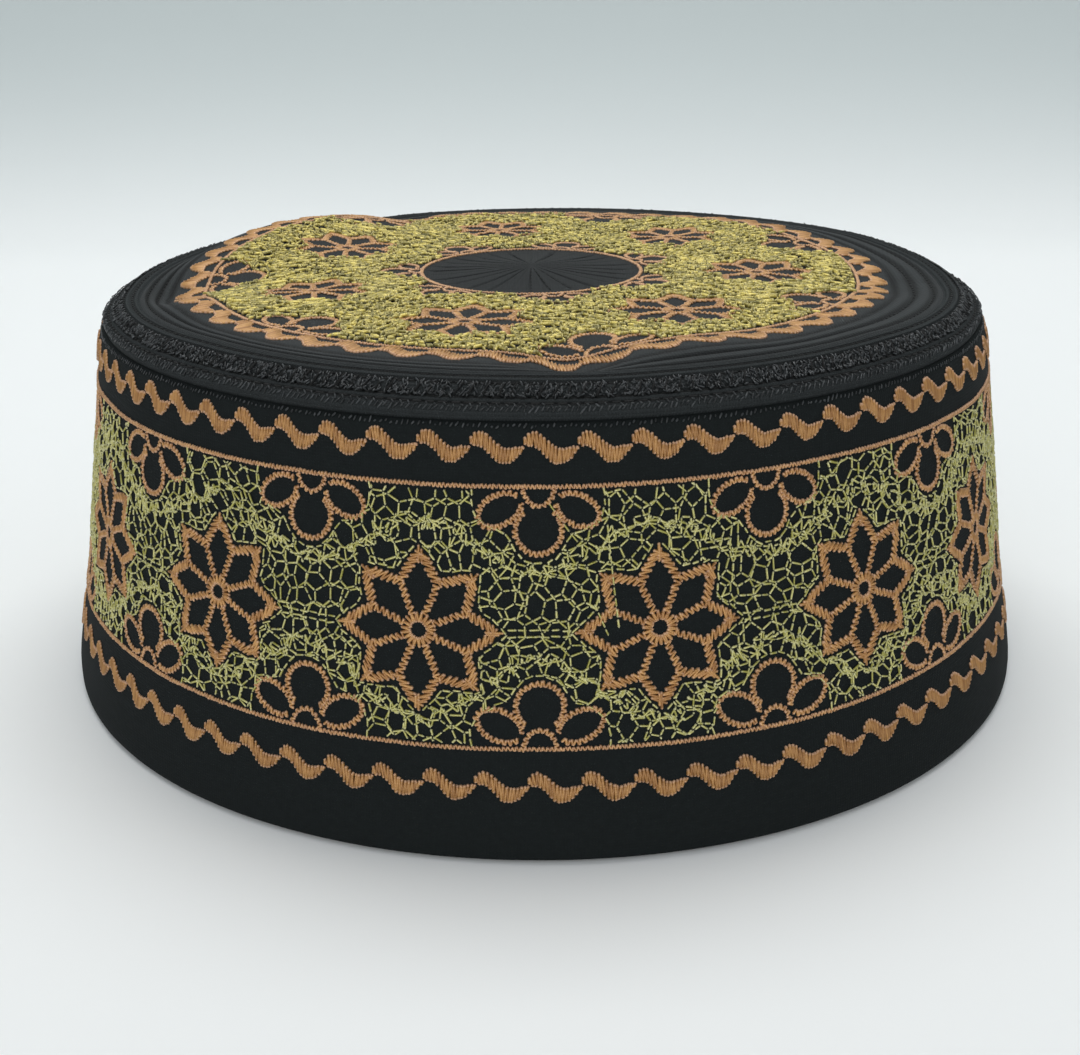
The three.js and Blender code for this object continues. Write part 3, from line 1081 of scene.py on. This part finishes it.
def build_edge_threads(black, deep):
    """The black threads of the seams: black on the strip and the shoulder, and a darker black with painted
    shade for the overlock row and the stitches in the grooves and pleats.
    """
    share, *scatter = TANGLED_ROW
    sets = [tangled_row(STRIP_LENGTH * share, *scatter, STRIP_RADIUS)]
    for share, *stitch in STRIP_ROWS:
        sets.append(slanted_row(STRIP_LENGTH * share, *stitch, STRIP_RADIUS))
    thread_piece("strip_stitches", sets, STRIP_THREAD, on_strip, black)
    share, *stitch = OVERLOCK_ROW
    overlock = slanted_row(STRIP_LENGTH * share, *stitch, STRIP_RADIUS)
    thread_piece("overlock_stitches", [overlock], OVERLOCK_THREAD, on_strip, deep)
    below, *stitch = SEAM_ROW
    seam = slanted_row(SHOULDER_HEIGHT - below, *stitch, PATTERN_RADIUS)
    thread_piece("seam_stitches", [seam], SEAM_THREAD, on_band, black)
    grooves = [quilting_row(STRIP_LENGTH * share, STRIP_RADIUS) for share in STRIP_GROOVES]
    in_groove = sunk(on_strip, STRIP_GROOVE_DEPTH)
    thread_piece("strip_groove_stitches", grooves, QUILTING_THREAD, in_groove, deep)
    rows = [quilting_row(CROWN_RADIUS - line, CROWN_RADIUS) for line in QUILT_RADII]
    in_quilting = sunk(on_crown_ring(CROWN_RADIUS), QUILT_DEPTH)
    thread_piece("quilting_stitches", rows, QUILTING_THREAD, in_quilting, deep)
    in_pleats = sunk(on_crown, PLEAT_DEPTH / 3)
    thread_piece("pleat_stitches", pleat_spokes(), PLEAT_THREAD, in_pleats, deep)


# Floor, light and camera

# The camera fitted to the photo: focal length in millimetres, pitch down, pan and roll in degrees, and
# place in metres
CAMERA_LENS = 53.46
CAMERA_TURNS = (20.758, -0.137, -0.525)
CAMERA_PLACE = (0, -0.3124, 0.1391)

# The sweep of paper: half width, front edge, where it turns up, the turn's radius and its top
SWEEP = {"half": 2500, "front": -2500, "turn": 420, "radius": 140, "top": 2200}

# The light: the world's, then each lamp's place, aim, width and height in metres and its power in watts
WORLD = {"Color": (0.92, 0.96, 1.0, 1), "Strength": 0.43}
LAMPS = {
    "overhead": ((0.0, 0.32, 1.05), (0, 0, 0.05), (1.0, 0.7), 9.0),
    "front_fill": ((-0.2, -1.4, 0.38), (0, 0, 0.03), (0.8, 0.5), 6.5),
}


def build_stage():
    """A pale sweep of paper: a floor that curves up into a wall behind the cap."""
    profile = [(SWEEP["front"], 0)]
    for angle in np.linspace(0, math.pi / 2, 13):
        back = SWEEP["turn"] + SWEEP["radius"] * math.sin(angle)
        profile.append((back, SWEEP["radius"] * (1 - math.cos(angle))))
    profile.append((SWEEP["turn"] + SWEEP["radius"], SWEEP["top"]))
    points = np.array([(x, y, z) for y, z in profile for x in (-SWEEP["half"], SWEEP["half"])])
    faces = 2 * np.arange(len(profile) - 1)[:, None] + (0, 1, 3, 2)
    smooth_mesh("paper_sweep", points, [faces], paper())


def posed(name, data, right, up, back, place):
    """A light or camera at a place, with its own axes along three directions."""
    thing = bpy.data.objects.new(name, data)
    columns = np.stack((right, up, back, place), 1)
    thing.matrix_world = Matrix((*columns.tolist(), (0, 0, 0, 1)))
    bpy.context.scene.collection.objects.link(thing)
    return thing


def add_light(name, place, aim, size, power):
    """A soft rectangular light at a place in metres, turned to an aim."""
    data = bpy.data.lights.new(name, "AREA")
    data.shape = "RECTANGLE"
    data.size, data.size_y = size
    data.energy = power
    direction = np.array(place) - np.array(aim)
    back = direction / np.linalg.norm(direction)
    side = np.cross((0.0, 0.0, 1.0), back)
    side = side / np.linalg.norm(side)
    posed(name, data, side, np.cross(back, side), back, place)


def build_light():
    world = bpy.data.worlds.new("studio")
    world.use_nodes = True
    feed(world.node_tree, world.node_tree.nodes["Background"], WORLD)
    bpy.context.scene.world = world
    for name, lamp in LAMPS.items():
        add_light(name, *lamp)


def build_camera():
    data = bpy.data.cameras.new("camera")
    data.sensor_width = 36
    data.lens = CAMERA_LENS
    pitch, pan, roll = (math.radians(degrees) for degrees in CAMERA_TURNS)
    forward = np.array((
        math.sin(pan) * math.cos(pitch), math.cos(pan) * math.cos(pitch), -math.sin(pitch)
    ))
    level = np.array((math.cos(pan), -math.sin(pan), 0.0))
    upright = np.cross(level, forward)
    right = math.cos(roll) * level + math.sin(roll) * upright
    up = math.cos(roll) * upright - math.sin(roll) * level
    bpy.context.scene.camera = posed("camera", data, right, up, -forward, CAMERA_PLACE)


def main():
    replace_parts(build_band(plain_band_cloth()), "side_band")
    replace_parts(build_strip(quilted_strip_cloth()), "edge_strip")
    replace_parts(build_crown(quilted_crown_cloth()), "crown_top")
    copper = thread("copper_thread")
    # The band's waves take a darker copy of the copper thread, as painted shade.
    build_band_threads(copper, thread("shaded_copper_fill_thread"), thread("green_gold_thread"))
    # The crown's net takes a darker copy of the green gold thread, as painted shade.
    build_crown_threads(copper, thread("shaded_crown_green_gold_thread"))
    # The darker black thread paints the shade in the grooves, the pleats and the overlock row.
    build_edge_threads(thread("black_thread"), thread("painted_shade_black_thread"))
    build_stage()
    build_light()
    build_camera()
    bpy.context.scene.view_settings.view_transform = "Standard"


main()
